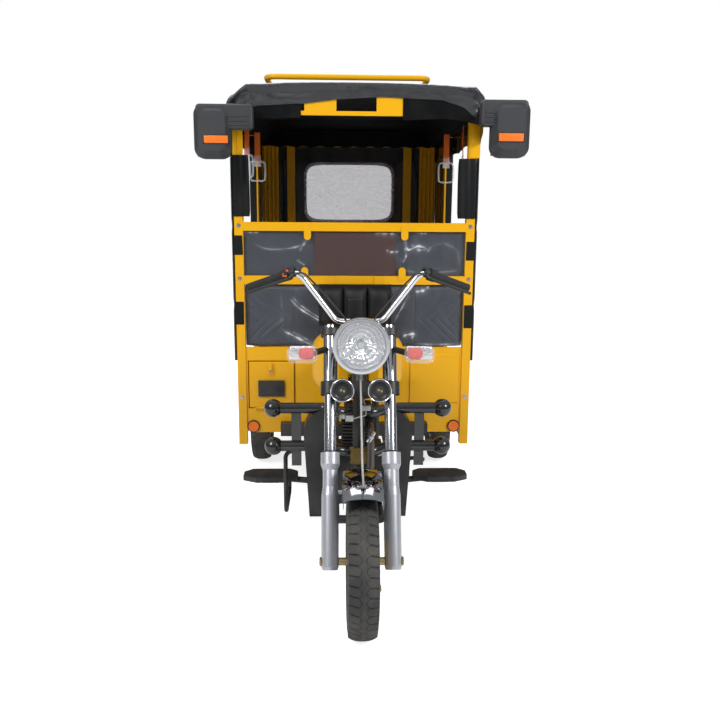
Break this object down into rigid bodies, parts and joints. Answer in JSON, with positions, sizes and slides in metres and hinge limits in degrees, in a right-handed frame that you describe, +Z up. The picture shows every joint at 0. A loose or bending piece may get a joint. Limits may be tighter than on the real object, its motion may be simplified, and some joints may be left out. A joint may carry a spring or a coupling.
{
  "type": "auto rickshaw",
  "caption": "Three-wheeled passenger vehicle with a motorcycle front end, steering fork and an open-sided cabin under a fabric roof.",
  "frame": {"origin": "on the ground, under the centre of the whole vehicle's box", "axes": "+Y runs from the front wheel to the tail, +X to the viewer's right as seen from ahead, +Z up"},
  "size_m": [1.4, 2.9498, 2.0893],
  "materials": {
    "black_paint": "satin",
    "yellow_paint": "gloss",
    "engine_metal": "matt",
    "dark_steel": "satin",
    "black_vinyl": "satin",
    "bench_vinyl": "satin",
    "brown_panel": "satin",
    "black_plastic": "satin",
    "floor_plate": "checker",
    "clear_window": "clear film",
    "strap_orange": "webbing",
    "red_lens": "gloss",
    "silver_cast": "satin",
    "chrome": "polished",
    "zinc": "zinc plated",
    "brass": "dull",
    "cable_sleeve": "satin",
    "grip_rubber": "matt",
    "lamp_glass": "clear",
    "signal_lens": "gloss",
    "tyre": "matt",
    "rim_paint": "satin"
  },
  "bodies": {
    "chassis": {"frame": "black_paint", "crash_bars": "black_paint", "rear_axle": "black_paint", "leaf_springs": "black_paint", "propeller_shaft": "black_paint", "engine": "engine_metal", "exhaust": "dark_steel", "down_tube_plate": "brass", "fuel_tank": "yellow_paint", "cabin_frame": "yellow_paint", "bulkhead_sheet": "yellow_paint", "side_panel_left": "yellow_paint", "side_panel_right": "yellow_paint", "rear_panel": "yellow_paint", "roof_rack": "yellow_paint", "bench_box": "yellow_paint", "driver_seat": "black_vinyl", "driver_backrest": "black_vinyl", "bulkhead_cushion": "black_vinyl", "screen_panel": "black_vinyl", "canopy": "black_vinyl", "curtains": "black_vinyl", "bench_cushions": "bench_vinyl", "centre_panel": "brown_panel", "leg_shields": "black_plastic", "foot_controls": "black_plastic", "mirrors": "black_plastic", "cabin_floor": "floor_plate", "rear_window": "clear_window", "hand_straps": "strap_orange", "lamps": "red_lens"},
    "steering": {"fork_legs": "silver_cast", "fork_tubes": "chrome", "headlight": "chrome", "front_mudguard": "chrome", "handlebar": "chrome", "fork_clamps": "black_paint", "front_axle": "zinc", "grips": "grip_rubber", "levers": "black_plastic", "horns": "black_plastic", "speedometer": "black_plastic", "headlight_lens": "lamp_glass", "control_cables": "cable_sleeve", "indicators": "signal_lens"},
    "front_wheel": {"front_tyre": "tyre", "front_rim": "rim_paint"},
    "rear_wheel_left": {"rear_tyre_left": "tyre", "rear_rim_left": "rim_paint"},
    "rear_wheel_right": {"rear_tyre_right": "tyre", "rear_rim_right": "rim_paint"},
    "toolbox_lid": {"toolbox_door": "yellow_paint"}
  },
  "joints": [
    {"name": "steering", "type": "hinge", "parent": "chassis", "child": "steering", "pos_m": [0, -0.84442, 0.91542], "axis": [0, 0.4226, 0.9063], "range_deg": [-38, 38]},
    {"name": "front_wheel_spin", "type": "hinge", "parent": "steering", "child": "front_wheel", "pos_m": [0, -1.207, 0.268], "axis": [1, 0, 0], "continuous": true},
    {"name": "rear_wheel_left_spin", "type": "hinge", "parent": "chassis", "child": "rear_wheel_left", "pos_m": [-0.5315, 0.805, 0.268], "axis": [1, 0, 0], "continuous": true},
    {"name": "rear_wheel_right_spin", "type": "hinge", "parent": "chassis", "child": "rear_wheel_right", "pos_m": [0.5315, 0.805, 0.268], "axis": [1, 0, 0], "continuous": true},
    {"name": "toolbox_hinge", "type": "hinge", "parent": "chassis", "child": "toolbox_lid", "pos_m": [-0.3985, -0.12, 0.55], "axis": [1, 0, 0], "range_deg": [0, 90]}
  ]
}
